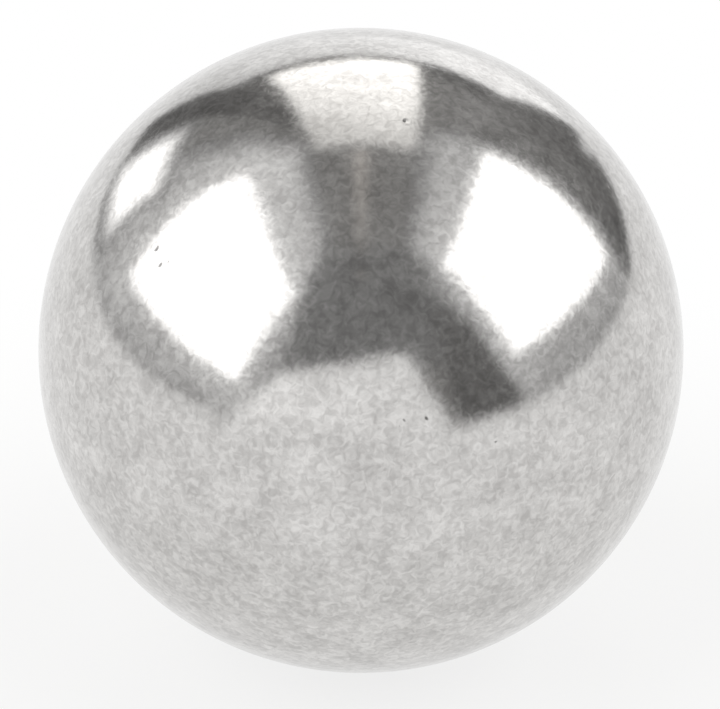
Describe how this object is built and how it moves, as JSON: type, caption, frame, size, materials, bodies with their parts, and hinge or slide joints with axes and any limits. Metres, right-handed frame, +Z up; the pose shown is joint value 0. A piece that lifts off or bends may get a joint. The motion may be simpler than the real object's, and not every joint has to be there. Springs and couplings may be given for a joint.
{
  "type": "steel ball",
  "caption": "Plain polished steel ball, a solid sphere used as a loose bearing ball, detent, check-valve ball or small bench weight.",
  "frame": {"origin": "centre of the ball", "axes": "+Z up through the top of the ball; the ball is the same about every axis, so +X and +Y are only level"},
  "size_m": [0.0254, 0.0254, 0.0254],
  "materials": {
    "polished_steel": "polished, with a fine satin grain, hairline scratches and a few pin-prick pits"
  },
  "bodies": {
    "root": {"steel_ball": "polished_steel"}
  },
  "joints": []
}
